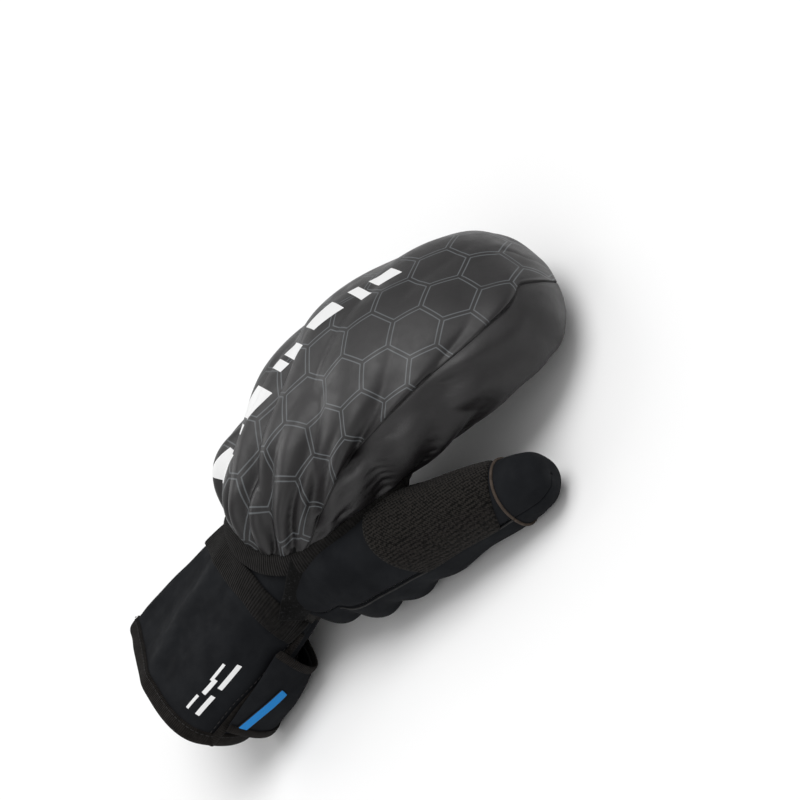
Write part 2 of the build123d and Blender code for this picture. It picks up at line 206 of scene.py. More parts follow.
def new_object(name, verts, faces, uv=None):
    mesh = bpy.data.meshes.new(name)
    mesh.from_pydata((np.asarray(verts) * MM).tolist(), [], faces)
    mesh.update()
    if uv is not None:
        layer = mesh.uv_layers.new(name="UVMap")
        index = np.empty(len(mesh.loops), int)
        mesh.loops.foreach_get("vertex_index", index)
        layer.data.foreach_set("uv", np.asarray(uv, float)[index].ravel())
    mesh.polygons.foreach_set("use_smooth", [True] * len(mesh.polygons))
    ob = bpy.data.objects.new(name, mesh)
    bpy.context.collection.objects.link(ob)
    return ob


def grid_faces(rows, cols, wrap=False):
    faces = []
    last = cols if wrap else cols - 1
    for i in range(rows - 1):
        for j in range(last):
            k = (j + 1) % cols
            faces.append((i * cols + j, i * cols + k, (i + 1) * cols + k, (i + 1) * cols + j))
    return faces


def arc_uv(p):
    """Millimetres along the columns (u) and rows (v), measured from the middle column and first row."""
    across = np.linalg.norm(np.diff(p, axis=1), axis=-1)
    u = np.concatenate([np.zeros((len(p), 1)), np.cumsum(across, axis=1)], axis=1)
    u = u - u[:, p.shape[1] // 2][:, None]
    along = np.linalg.norm(np.diff(p, axis=0), axis=-1)
    v = np.concatenate([np.zeros((1, p.shape[1])), np.cumsum(along, axis=0)], axis=0)
    return np.stack([u, v], axis=-1)


def panel(name, p, material, thickness=0.9, inside=True, uv=None, roll=0.6, subdivide=1, laid=False):
    """A piece of cloth over a grid of points, with turned edges, given real thickness inwards."""
    p = np.array(p)
    n = grid_normals(p)
    middle = p.reshape(-1, 3).mean(axis=0)
    flip = np.sum(n * (p - middle)) > 0
    n = n if flip else -n
    rows, cols = p.shape[:2]
    if roll:
        drop = np.zeros((rows, cols))
        for k, share in enumerate((1.0, 0.3)):
            for edge in ((k, slice(None)), (rows - 1 - k, slice(None)), (slice(None), k), (slice(None), cols - 1 - k)):
                drop[edge] = np.maximum(drop[edge], share * roll)
        p = p - n * drop[..., None]
    faces = grid_faces(rows, cols)
    if flip:
        faces = [f[::-1] for f in faces]
    uv = arc_uv(p) if uv is None else uv
    ob = new_object(name, p.reshape(-1, 3), faces, uv.reshape(-1, 2))
    if laid:
        flatten(ob, rows, cols)
    apply_modifier(ob, "SOLIDIFY", thickness=thickness * MM, offset=-1 if inside else 1)
    if subdivide:
        apply_modifier(ob, "SUBSURF", levels=subdivide, render_levels=subdivide)
    ob.data.materials.append(material)
    return ob


def apply_modifier(ob, kind, **settings):
    modifier = ob.modifiers.new(kind, kind)
    for key, value in settings.items():
        setattr(modifier, key, value)
    graph = bpy.context.evaluated_depsgraph_get()
    mesh = bpy.data.meshes.new_from_object(ob.evaluated_get(graph), depsgraph=graph)
    ob.modifiers.clear()
    old = ob.data
    ob.data = mesh
    mesh.name = ob.name
    bpy.data.meshes.remove(old)


def path_frame(p, n, closed):
    """Directions along and across a path that lies on a surface with normals n."""
    if closed:
        way = np.roll(p, -1, axis=0) - np.roll(p, 1, axis=0)
    else:
        way = np.gradient(p, axis=0)
    way = unit(way)
    across = unit(np.cross(n, way))
    return way, across, unit(np.cross(way, across))


def ribbon(name, p, n, profile, material, closed=False, subdivide=1):
    """A closed profile of (across, height) points swept along a path on a surface."""
    p, n = np.asarray(p, float), unit(np.asarray(n, float))
    _, across, up = path_frame(p, n, closed)
    profile = np.asarray(profile, float)
    verts = p[:, None] + across[:, None] * profile[None, :, :1] + up[:, None] * profile[None, :, 1:]
    rows, cols = verts.shape[:2]
    faces = []
    for i in range(rows if closed else rows - 1):
        k = (i + 1) % rows
        for j in range(cols):
            m = (j + 1) % cols
            faces.append((i * cols + j, k * cols + j, k * cols + m, i * cols + m))
    if not closed:
        faces.append(tuple(range(cols)))
        faces.append(tuple((rows - 1) * cols + j for j in reversed(range(cols))))
    run = np.concatenate([[0], np.cumsum(np.linalg.norm(np.diff(p, axis=0), axis=1))])
    uv = np.stack(np.broadcast_arrays(profile[None, :, 0], run[:, None]), axis=-1)
    ob = new_object(name, verts.reshape(-1, 3), faces, uv.reshape(-1, 2))
    if subdivide:
        apply_modifier(ob, "SUBSURF", levels=subdivide, render_levels=subdivide)
    ob.data.materials.append(material)
    return ob


def flat_profile(width, thick, dome=0.25):
    h = width / 2
    top = [(-h, 0.0), (-h, thick * 0.7), (-h * 0.85, thick), (0, thick * (1 + dome)), (h * 0.85, thick)]
    return top + [(h, thick * 0.7), (h, 0.0), (0, -0.2)]


def round_profile(radius, squash=1.0, lift=0.0, sides=8):
    turns = np.arange(sides) * 2 * np.pi / sides
    return [(radius * math.cos(t), lift + radius * squash * math.sin(t)) for t in turns]


def resample(p, count, closed=False):
    p = np.asarray(p, float)
    if closed:
        p = np.concatenate([p, p[:1]])
    run = np.concatenate([[0], np.cumsum(np.linalg.norm(np.diff(p, axis=0), axis=1))])
    at = np.linspace(0, run[-1], count + 1)[:-1] if closed else np.linspace(0, run[-1], count)
    return np.stack([np.interp(at, run, p[:, k]) for k in range(3)], axis=-1)


def stitches(name, p, n, material, pitch=3.2, length=2.3, radius=0.28, side=0.0, lift=0.15):
    """A row of thread stitches that lie along a path on a surface."""
    total = np.sum(np.linalg.norm(np.diff(p, axis=0), axis=1))
    count = max(2, int(total / pitch) * 4 + 1)
    path, normal = resample(p, count), unit(resample(n, count))
    way, across, up = path_frame(path, normal, False)
    verts, faces = [], []
    ring = [(math.cos(t), math.sin(t)) for t in np.arange(6) * np.pi / 3]
    for i in range(1, count - 1, 4):
        base = path[i] + across[i] * side
        start = len(verts)
        for share, size, high in ((-0.5, 0.3, -0.3), (-0.3, 1, 0.6), (0.3, 1, 0.6), (0.5, 0.3, -0.3)):
            centre = base + way[i] * length * share + up[i] * (lift + high * radius)
            for a, b in ring:
                verts.append(centre + across[i] * a * radius * size + up[i] * b * radius * size)
        for k in range(3):
            for j in range(6):
                a, b = start + k * 6 + j, start + k * 6 + (j + 1) % 6
                faces.append((a, b, b + 6, a + 6))
        faces.append(tuple(start + j for j in reversed(range(6))))
        faces.append(tuple(start + 18 + j for j in range(6)))
    ob = new_object(name, verts, faces, [(0, 0)] * len(verts))
    ob.data.materials.append(material)
    return ob


def on_surface(point, s, theta, out=0.0):
    """Points and outward normals of a surface function along a list of places."""
    s, theta = np.broadcast_arrays(np.asarray(s, float), np.asarray(theta, float))
    p = point(s, theta, out)
    ds = point(s + 0.5, theta, out) - point(s - 0.5, theta, out)
    dt = point(s, theta + 0.02, out) - point(s, theta - 0.02, out)
    return p, unit(np.cross(ds, dt))


# ---- materials ----
class Nodes:
    """Short words for building a material's nodes."""

    def __init__(self, name, rough=0.8, sheen=0.0, specular=0.3):
        self.material = bpy.data.materials.new(name)
        self.material.use_nodes = True
        self.tree = self.material.node_tree
        self.shader = self.tree.nodes["Principled BSDF"]
        self.shader.inputs["Roughness"].default_value = rough
        self.shader.inputs["Sheen Weight"].default_value = sheen
        self.shader.inputs["Specular IOR Level"].default_value = specular
        self.height = None

    def add(self, kind, **values):
        node = self.tree.nodes.new(kind)
        for key, value in values.items():
            setattr(node, key, value)
        return node

    def link(self, a, b):
        if isinstance(a, (int, float)):
            b.default_value = a
        else:
            self.tree.links.new(a, b)

    def math(self, operation, a, b=0.0, c=None):
        node = self.add("ShaderNodeMath", operation=operation)
        self.link(a, node.inputs[0])
        self.link(b, node.inputs[1])
        if c is not None:
            self.link(c, node.inputs[2])
        return node.outputs[0]

    def object_place(self, scale):
        place_node = self.add("ShaderNodeTexCoord").outputs["Object"]
        mapping = self.add("ShaderNodeMapping")
        mapping.inputs["Scale"].default_value = (scale, scale, scale)
        self.link(place_node, mapping.inputs["Vector"])
        return mapping.outputs[0]

    def uv(self):
        split = self.add("ShaderNodeSeparateXYZ")
        self.link(self.add("ShaderNodeTexCoord").outputs["UV"], split.inputs[0])
        return split.outputs[0], split.outputs[1]

    def noise(self, scale, detail=3.0, rough=0.55):
        node = self.add("ShaderNodeTexNoise")
        node.inputs["Detail"].default_value = detail
        node.inputs["Roughness"].default_value = rough
        self.link(self.object_place(scale), node.inputs["Vector"])
        node.inputs["Scale"].default_value = 1.0
        return node.outputs["Fac"]

    def cells(self, scale, feature="F1"):
        node = self.add("ShaderNodeTexVoronoi", feature=feature)
        self.link(self.object_place(scale), node.inputs["Vector"])
        node.inputs["Scale"].default_value = 1.0
        return node.outputs["Distance"]

    def mix(self, fac, a, b):
        node = self.add("ShaderNodeMix", data_type="RGBA")
        self.link(fac, node.inputs[0])
        for value, socket in ((a, node.inputs[6]), (b, node.inputs[7])):
            if isinstance(value, tuple):
                socket.default_value = (*value, 1)
            else:
                self.link(value, socket)
        return node.outputs[2]

    def smooth(self, value, low, high, start=0.0, end=1.0):
        node = self.add("ShaderNodeMapRange", interpolation_type="SMOOTHSTEP")
        self.link(value, node.inputs["Value"])
        for key, number in (("From Min", low), ("From Max", high), ("To Min", start), ("To Max", end)):
            node.inputs[key].default_value = number
        return node.outputs[0]

    def colour(self, value):
        self.link(value, self.shader.inputs["Base Color"])

    def roughness(self, value):
        self.link(value, self.shader.inputs["Roughness"])

    def bump(self, value, distance, strength=1.0):
        node = self.add("ShaderNodeBump")
        node.inputs["Distance"].default_value = distance * MM
        node.inputs["Strength"].default_value = strength
        self.link(value, node.inputs["Height"])
        if self.height is not None:
            self.link(self.height, node.inputs["Normal"])
        self.height = node.outputs[0]
        self.link(self.height, self.shader.inputs["Normal"])


def weave_height(m, pitch):
    """A plain weave from two crossed sets of threads, by the piece's own UV millimetres."""
    u, v = m.uv()
    a = m.math("SINE", m.math("MULTIPLY", u, math.tau / pitch))
    b = m.math("SINE", m.math("MULTIPLY", v, math.tau / pitch))
    return m.math("MULTIPLY", a, b)


def softshell():
    m = Nodes("softshell", 0.85, specular=0.12)
    fac = m.noise(55, 4)
    m.colour(m.mix(m.smooth(fac, 0.3, 0.7), (0.0048, 0.0054, 0.0068), (0.0085, 0.0094, 0.0112)))
    m.roughness(m.smooth(m.noise(160), 0.2, 0.8, 0.74, 0.9))
    m.bump(m.noise(2600, 2), 0.05, 0.35)
    m.bump(weave_height(m, 0.9), 0.03, 0.35)
    return m


def print_bars(m, bars):
    """Where any of the slanted bars (u, v, half width, half length, slant) lies, as 0 or 1."""
    u, v = m.uv()
    total = None
    for cu, cv, hu, hv, slant in bars:
        side = m.math("ABSOLUTE", m.math("SUBTRACT", u, cu))
        along = m.math("SUBTRACT", v, m.math("MULTIPLY_ADD", m.math("SUBTRACT", u, cu), slant, cv))
        along = m.math("ABSOLUTE", along)
        inside = m.math("MULTIPLY", m.math("LESS_THAN", side, hu), m.math("LESS_THAN", along, hv))
        total = inside if total is None else m.math("MAXIMUM", total, inside)
    return total


def honeycomb(m, cell, inset, line):
    """Thin outlines set inside each hexagon, so that neighbours make double lines."""
    u, v = m.uv()
    x, y = m.math("DIVIDE", u, cell), m.math("DIVIDE", v, cell)
    tall = math.sqrt(3)
    halves = []
    for shift in (0.0, 0.5):
        a = m.math("SUBTRACT", m.math("FLOORED_MODULO", m.math("ADD", x, shift), 1.0), 0.5)
        b = m.math("FLOORED_MODULO", m.math("ADD", y, shift * tall), tall)
        b = m.math("SUBTRACT", b, tall / 2)
        a, b = m.math("ABSOLUTE", a), m.math("ABSOLUTE", b)
        slope = m.math("MULTIPLY_ADD", b, tall / 2, m.math("MULTIPLY", a, 0.5))
        halves.append(m.math("MAXIMUM", a, slope))
    edge = m.math("SUBTRACT", 0.5, m.math("MINIMUM", *halves))
    away = m.math("ABSOLUTE", m.math("SUBTRACT", m.math("MULTIPLY", edge, cell), inset))
    return m.smooth(away, line * 0.35, line * 0.75, 1.0, 0.0)


def nylon(name, printed=False):
    m = Nodes(name, 0.4, specular=0.5)
    base = m.mix(m.smooth(m.noise(38, 4), 0.3, 0.72), (0.0056, 0.0048, 0.0053), (0.0100, 0.0088, 0.0096))
    if printed:
        lines = m.math("MULTIPLY", honeycomb(m, 25.5, 1.1, 0.55), m.smooth(m.noise(90), 0.2, 0.5, 0.55, 1.0))
        base = m.mix(lines, base, (0.085, 0.092, 0.098))
        base = m.mix(print_bars(m, hood_marks()), base, (0.80, 0.80, 0.80))
    m.colour(base)
    m.roughness(m.smooth(m.noise(120), 0.2, 0.8, 0.36, 0.52))
    m.bump(weave_height(m, 0.8), 0.03, 0.5)
    m.bump(m.noise(380, 3), 0.12, 0.35)
    return m


def hood_marks():
    """A plain row of slanted white bars, a generic mark along the back of the hood."""
    bars, v = [], 20.0
    for length, gap, half in ((14, 9, 8), (5, 4, 6), (17, 10, 8), (6, 4, 5), (9, 9, 8), (18, 9, 7), (6, 5, 8), (13, 6, 6)):
        bars.append((-21.0 + half, v + length / 2, half, length / 2, 0.35))
        v += length + gap
    return bars


def leather():
    m = Nodes("leather", 0.62, specular=0.2)
    grain = m.cells(900)
    m.colour(m.mix(m.smooth(m.noise(70, 4), 0.3, 0.7), (0.0060, 0.0052, 0.0045), (0.0110, 0.0096, 0.0084)))
    m.roughness(m.smooth(grain, 0.1, 0.7, 0.7, 0.52))
    m.bump(grain, 0.16, 0.5)
    m.bump(m.noise(240, 4), 0.3, 0.4)
    return m


def ribbed(name, low, high, pitch=1.1, depth=0.25):
    m = Nodes(name, 0.92, sheen=0.03, specular=0.1)
    u, v = m.uv()
    rib = m.math("SINE", m.math("MULTIPLY", v, math.tau / pitch))
    m.colour(m.mix(m.smooth(m.noise(420, 3), 0.3, 0.75), low, high))
    m.bump(rib, depth, 0.6)
    m.bump(m.noise(1500, 3), 0.15, 0.5)
    return m


def terry():
    """Small raised loops in rows, dark with paler flecks where the loops catch the light."""
    m = Nodes("terry", 0.97, sheen=0.04, specular=0.08)
    u, v = m.uv()
    slant = m.math("MULTIPLY_ADD", v, 0.5, u)
    rows = m.math("MULTIPLY", m.math("SINE", m.math("MULTIPLY", slant, math.tau / 1.9)),
                  m.math("SINE", m.math("MULTIPLY", v, math.tau / 2.6)))
    loops = m.math("MULTIPLY_ADD", rows, 0.32, m.math("MULTIPLY", m.cells(900), 0.75))
    m.colour(m.mix(m.smooth(loops, 0.15, 0.65), (0.021, 0.0185, 0.0165), (0.0030, 0.0027, 0.0024)))
    m.bump(m.math("SUBTRACT", 1.0, loops), 0.9, 0.9)
    m.bump(m.noise(1300, 3), 0.3, 0.5)
    return m


def velour(name="hook and loop"):
    m = Nodes(name, 0.98, sheen=0.04, specular=0.06)
    fleck = m.noise(900, 4, 0.7)
    m.colour(m.mix(m.smooth(fleck, 0.56, 0.72), (0.0045, 0.0045, 0.0045), (0.030, 0.030, 0.032)))
    m.bump(fleck, 0.5, 0.9)
    return m


def plain(name, low, high, rough=0.7, scale=300, depth=0.1):
    m = Nodes(name, rough, specular=0.3)
    m.colour(m.mix(m.smooth(m.noise(scale), 0.3, 0.7), low, high))
    m.bump(m.noise(scale * 4), depth, 0.5)
    return m


def label_cloth():
    m = Nodes("woven label", 0.6, specular=0.35)
    u, v = m.uv()
    inside = m.math("LESS_THAN", m.math("ABSOLUTE", u), 2.2)
    base = m.mix(inside, (0.010, 0.011, 0.013), (0.0, 0.20, 0.56))
    m.colour(base)
    m.bump(weave_height(m, 0.5), 0.06, 0.6)
    return m


def cuff_cloth():
    """Softshell with a few plain white bars, a generic mark on the cuff."""
    m = softshell()
    m.material.name = "softshell with mark"
    old = m.shader.inputs["Base Color"].links[0].from_socket
    marks = []
    for k, half in enumerate((7.5, 4.5, 6.0)):
        marks.append((-39.0 + (k % 2) * 4.6 - 1.6, 37.0 - k * 9.0, 1.2, half, 0.0))
        marks.append((-34.4 - (k % 2) * 2.0, 36.0 - k * 9.5, 0.8, half * 0.7, 0.0))
    m.colour(m.mix(print_bars(m, marks), old, (0.80, 0.80, 0.80)))
    return m


SOFTSHELL = softshell().material
CUFF_CLOTH = cuff_cloth().material
NYLON = nylon("hood nylon").material
PRINT = nylon("printed hood nylon", True).material
LEATHER = leather().material
BINDING = ribbed("binding tape", (0.0060, 0.0050, 0.0044), (0.0130, 0.0112, 0.0100)).material
ELASTIC = ribbed("elastic", (0.0048, 0.0044, 0.0041), (0.0105, 0.0096, 0.0090), 1.6, 0.35).material
TERRY = terry().material
VELOUR = velour().material
THREAD = plain("thread", (0.010, 0.010, 0.010), (0.024, 0.023, 0.023)).material
BROWN = plain("brown thread", (0.035, 0.024, 0.017), (0.060, 0.043, 0.032)).material
LABEL = label_cloth().material
WADDING = plain("wadding", (0.62, 0.61, 0.58), (0.78, 0.77, 0.74), 0.95, 120, 0.6).material
LINING = plain("brushed lining", (0.020, 0.020, 0.022), (0.034, 0.034, 0.037), 0.95, 500, 0.4).material


# ---- glove: sleeve and hand ----
def mouth_s(theta):
    """Where the slanted cuff mouth crosses the sleeve, by angle."""
    _, lift = oval(theta, 52, 22, 34)
    return 11.07 - (Z0 + lift) * math.tan(math.radians(MOUTH_SLANT))


def surface_grid(point, theta0, theta1, cols, start, end, rows, out=0.0):
    theta = np.radians(np.linspace(theta0, theta1, cols))
    t = np.linspace(0, 1, rows)[:, None]
    first = start(theta) if callable(start) else np.full(cols, float(start))
    last = end(theta) if callable(end) else np.full(cols, float(end))
    s = first[None, :] * (1 - t) + last[None, :] * t
    return point(s, np.broadcast_to(theta, s.shape), out)


def edge_theta(s):
    """The bound edge of the cuff's back runs down the thumb side and turns under towards the wrist."""
    return np.radians(-1 - 15.5 * np.clip(s / 60, 0, 1.2) ** 1.6)


def make_sleeve():
    pieces = []
    back = surface_grid(hand_point, -19, 182, 100, mouth_s, WRIST_AT + 1, 60)
    ob = panel("cuff_back_cloth", back, CUFF_CLOTH, 1.2)
    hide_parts("cuff_back_panel")
    pieces.append(ob)
    palm = surface_grid(hand_point, 177, 345, 90, mouth_s, WRIST_AT + 1, 60, -0.5)
    ob = panel("cuff_palm_cloth", palm, SOFTSHELL, 1.2)
    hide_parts("cuff_palm_panel")
    pieces.append(ob)
    back = surface_grid(hand_point, -4, 184, 80, WRIST_AT - 1, CROTCH_AT + 1, 70)
    ob = panel("hand_back_cloth", back, SOFTSHELL, 1.2)
    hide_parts("hand_back_panel")
    pieces.append(ob)
    palm = surface_grid(hand_point, 184, 356, 80, WRIST_AT - 1, CROTCH_AT + 1, 70)
    ob = panel("hand_palm_leather", palm, LEATHER, 1.2)
    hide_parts("hand_palm_panel")
    pieces.append(ob)
    wadding = surface_grid(hand_point, 0, 360, 90, lambda turn: mouth_s(turn) + 4, CROTCH_AT - 2, 50, -2.2)
    wadding[:, -1] = wadding[:, 0]
    ob = panel("sleeve_wadding", wadding, WADDING, 1.2, roll=0, subdivide=0)
    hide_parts("insulation_hand")
    pieces.append(ob)
    lining = surface_grid(hand_point, 0, 360, 90, mouth_s, CROTCH_AT - 4, 50, -4.2)
    lining[:, -1] = lining[:, 0]
    ob = panel("sleeve_lining", lining, LINING, 0.7, roll=0)
    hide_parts("lining_hand")
    pieces.append(ob)
    return pieces


def make_binding():
    theta = np.linspace(0, 2 * np.pi, 180, endpoint=False)
    s = mouth_s(theta)
    rows = []
    for along, out in ((7, 0.2), (6.8, 1.0), (5.2, 1.35), (2.2, 1.45), (0.2, 1.3), (-1.0, 0.2), (-1.25, -1.6),
                       (-1.1, -3.4), (-0.2, -4.8), (2.5, -5.3), (6.3, -5.2), (6.8, -4.6)):
        rows.append(hand_point(s + along, theta, out))
    p = np.stack(rows)
    count = len(rows)
    faces = grid_faces(count, 180, True)
    for j in range(180):
        k = (j + 1) % 180
        faces.append(((count - 1) * 180 + j, (count - 1) * 180 + k, k, j))
    run = np.concatenate([[0], np.cumsum(np.linalg.norm(np.diff(p[2], axis=0), axis=1))])
    uv = np.stack(np.broadcast_arrays(np.arange(count)[:, None] * 1.5, run[None]), axis=-1)
    ob = new_object("cuff_hem_tape", p.reshape(-1, 3), faces, uv.reshape(-1, 2))
    apply_modifier(ob, "SUBSURF", levels=1, render_levels=1)
    ob.data.materials.append(BINDING)
    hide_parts("cuff_hem_binding")
    q, n = on_surface(hand_point, np.append(s, s[0]) + 5.8, np.append(theta, 2 * np.pi), 1.3)
    seam = stitches("cuff_hem_stitches", q, n, THREAD, 2.6, 2.0, 0.22)
    return [ob, seam]


def make_trims():
    pieces = []
    # bound edge of the cuff's back, from the hem to the wrist band
    t = np.linspace(0, 1, 60)
    s = mouth_s(math.radians(-1)) * (1 - t) + (WRIST_AT - 6) * t
    theta = edge_theta(s)
    p, n = on_surface(hand_point, s, theta, 0.3)
    ob = ribbon("cuff_edge_tape", p, n, flat_profile(4.6, 1.5), BINDING)
    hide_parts("cuff_edge_binding")
    pieces.append(ob)
    p, n = on_surface(hand_point, s, theta + 0.09, 0.1)
    pieces.append(stitches("cuff_edge_stitches", p, n, THREAD, 2.8, 2.0, 0.22))
    # elastic band across the back of the wrist
    turn = np.linspace(167, -13, 90)
    s = np.interp(turn, (-14, -6, 20, 58, 105, 165), (67, 68, 70, 70.5, 64.3, 56))
    for _ in range(6):
        s[1:-1] = 0.25 * s[:-2] + 0.5 * s[1:-1] + 0.25 * s[2:]
    p, n = on_surface(hand_point, s, np.radians(turn), 0.4)
    ob = ribbon("wrist_elastic_band", p, n, flat_profile(14.5, 1.4, 0.1), ELASTIC)
    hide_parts("wrist_band")
    pieces.append(ob)
    # strap that ties the hood's hem down to the wrist band
    s = np.linspace(73, 118, 50)
    theta = np.radians(np.linspace(2, 26, 50))
    p, n = on_surface(hand_point, s, theta, 0.8)
    p = clear_of_thumb(p, 1.0)
    for _ in range(8):
        p[1:-1] = 0.25 * p[:-2] + 0.5 * p[1:-1] + 0.25 * p[2:]
    ob = ribbon("hood_strap", p, n, flat_profile(15, 1.6, 0.1), VELOUR)
    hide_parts("hood_anchor_strap")
    pieces.append(ob)
    # leather overlay on the palm
    x0, x1 = 205, 300
    patch = surface_grid(hand_point, x0, x1, 50, WRIST_AT + 18, CROTCH_AT - 30, 40, 1.0)
    ob = panel("palm_patch", patch, LEATHER, 0.9)
    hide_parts("palm_reinforcement")
    pieces.append(ob)
    return pieces


# ---- thumb ----
def make_thumb():
    pieces = []
    back = surface_grid(thumb_point, 0, 180, 60, -34, 97, 80)
    ob = panel("thumb_back_cloth", back, SOFTSHELL, 1.0)
    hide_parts("thumb_back")
    pieces.append(ob)
    palm = surface_grid(thumb_point, 180, 360, 60, -34, 97, 80)
    ob = panel("thumb_palm_cloth", palm, SOFTSHELL, 1.0)
    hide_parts("thumb_palm")
    pieces.append(ob)
    tip = surface_grid(thumb_point, 0, 360, 60, 96, 118.4, 24)
    tip[:, -1] = tip[:, 0]
    tip = np.concatenate([tip, np.broadcast_to(tip[-1].mean(axis=0), tip[-1:].shape)])
    ob = panel("thumb_tip_cloth", tip, SOFTSHELL, 1.0, roll=0)
    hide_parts("thumb_tip")
    pieces.append(ob)
    for name, depth, material in (("insulation", -1.9, WADDING), ("lining", -3.4, LINING)):
        tube = surface_grid(thumb_point, 0, 360, 50, -28, 113, 40, depth)
        tube[:, -1] = tube[:, 0]
        ob = panel(f"thumb_{name}_tube", tube, material, 0.8, roll=0, subdivide=0)
        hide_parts(f"{name}_thumb")
        pieces.append(ob)
    theta = np.radians(np.linspace(-4, 176, 70))
    t = np.linspace(0, 1, 60)[:, None]
    bow = np.sin((theta - theta[0]) / (theta[-1] - theta[0]) * np.pi)[None] ** 0.7
    s = (46 - 20 * bow) * (1 - t) + (88 + 7 * bow) * t
    grid = thumb_point(s, np.broadcast_to(theta, s.shape), 1.25)
    ob = panel("thumb_terry", grid, TERRY, 1.2, roll=1.0)
    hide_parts("thumb_wipe_patch")
    pieces.append(ob)
    ring = np.linspace(0, 2 * np.pi, 90)
    p, n = on_surface(thumb_point, 96.5, ring, 0.3)
    p[:, 2] = np.maximum(p[:, 2], 1.1)
    pieces.append(ribbon("thumb_tip_seam", p, n, round_profile(0.8), BROWN))
    s = np.linspace(-10, 96, 90)
    for side, angle in (("outer", -2), ("inner", 182)):
        p, n = on_surface(thumb_point, s, math.radians(angle), 0.1)
        pieces.append(ribbon(f"thumb_seam_{side}", p, n, round_profile(0.5, 0.8), THREAD))
    return pieces


# ---- fingers ----
def make_fingers():
    pieces = []
    for number, (name, length) in enumerate(FINGERS.items()):
        def point(s, theta, out=0.0):
            return finger_point(number, length, s, theta, out)
        for side, low, high, material in (("back", 0, 180, SOFTSHELL), ("palm", 180, 360, LEATHER)):
            grid = surface_grid(point, low, high, 30, -9, length - 0.1, 55)
            ob = panel(f"{name}_{side}_cloth", grid, material, 0.9, roll=0.4)
            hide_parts(f"{name}_finger_{side}")
            pieces.append(ob)
        s = np.concatenate([np.linspace(0, length - 0.3, 60), np.linspace(length - 0.3, 0, 60)])
        theta = np.concatenate([np.zeros(60), np.full(60, np.pi)])
        p, n = on_surface(point, s, theta, 0.1)
        pieces.append(ribbon(f"{name}_seam", p, n, round_profile(0.45, 0.8), THREAD, subdivide=0))
    return pieces


# ---- closure tab ----
TAB_MID, TAB_ROOT, TAB_FREE = 34.5, 21.5, 15.5


def tab_half(t):
    """Half the tab's height along its run: tall at the root, round at the free end."""
    body = TAB_ROOT + (TAB_FREE - TAB_ROOT) * np.clip(t / 0.8, 0, 1)
    end = np.sqrt(np.clip(1 - (np.clip(t - 0.8, 0, None) / 0.2) ** 2, 0, 1))
    return body * end


def tab_theta(t):
    return np.radians(-2 + (-95 + 2) * t)


def tab_point(s, theta, out=0.0):
    """The tab's outer face: it stands away from the cuff where it turns under it."""
    turn = np.degrees(theta)
    belly = 7.0 * np.exp(-(((turn + 44) / 27) ** 2)) * np.clip(1.1 - np.abs(s - TAB_MID - 4) / 60, 0, 1)
    p = hand_point(s, theta, 3.4 + belly + out)
    p[..., 2] = np.maximum(p[..., 2], 0.4 + np.maximum(out, 0))
    return p


def make_tab():
    pieces = []
    t = np.linspace(0, 0.995, 70)[None, :]
    v = np.linspace(-1, 1, 40)[:, None]
    s = TAB_MID + v * (tab_half(t) - 0.4)
    grid = tab_point(s, np.broadcast_to(tab_theta(t), s.shape))
    ob = panel("tab_cloth", grid, SOFTSHELL, 1.3)
    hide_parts("tab_panel")
    pieces.append(ob)
    t = np.linspace(0, 1, 80)
    theta = np.concatenate([tab_theta(t), tab_theta(t[::-1][1:])])
    half = tab_half(t)
    s = np.concatenate([TAB_MID - half, (TAB_MID + half)[::-1][1:]])
    q = resample(tab_point(s, theta, -0.3), 180)
    q[:, 2] = np.maximum(q[:, 2], 2.0)
    inner = resample(hand_point(s, theta, -1.0), 180)
    ob = ribbon("tab_tape", q, q - inner, flat_profile(4.4, 1.2), BINDING)
    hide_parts("tab_binding")
    pieces.append(ob)
    s = np.linspace(TAB_MID - 20, TAB_MID + 6, 40)
    theta = np.radians(np.linspace(-10, -23, 40))
    p, n = on_surface(tab_point, s, theta, 0.3)
    ob = ribbon("tab_label_cloth", p, n, flat_profile(5.2, 0.6, 0.05), LABEL)
    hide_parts("tab_label")
    pieces.append(ob)
    return pieces


# ---- hood ----
def hood_surface(s, theta, grow=0.0):
    w, a, b = smooth_table(s, HOOD_ROWS)
    x, lift = oval(theta, w + grow, a + grow, b + grow)
    return place(s, x + HOOD_LEAN, lift)


HEM_ANGLES = (-90, -55, -25, -14, 0, 16, 32, 46, 62, 90, 125, 150, 180, 215, 270)
HEM_AT = (160, 166, 168, 166, 154, 138, 110, 99, 91, 84, 84, 90, 108, 138, 160)
CLEAR_ROWS = HAND_ROWS + [(236, 46, 13, 13), (248, 41, 12, 12), (256, 34, 10, 10), (262, 26, 8, 8)]


def hem_place(theta):
    """Distance along the centreline of the hood's hem: low on the back, past the thumb's crotch on the palm."""
    turn = (np.degrees(theta) + 90) % 360 - 90
    fine = np.arange(-90, 271)
    at = np.interp(fine, HEM_ANGLES, HEM_AT)[:-1]
    for _ in range(40):
        at = 0.25 * np.roll(at, 1) + 0.5 * at + 0.25 * np.roll(at, -1)
    return np.interp(turn, fine, np.append(at, at[0]))


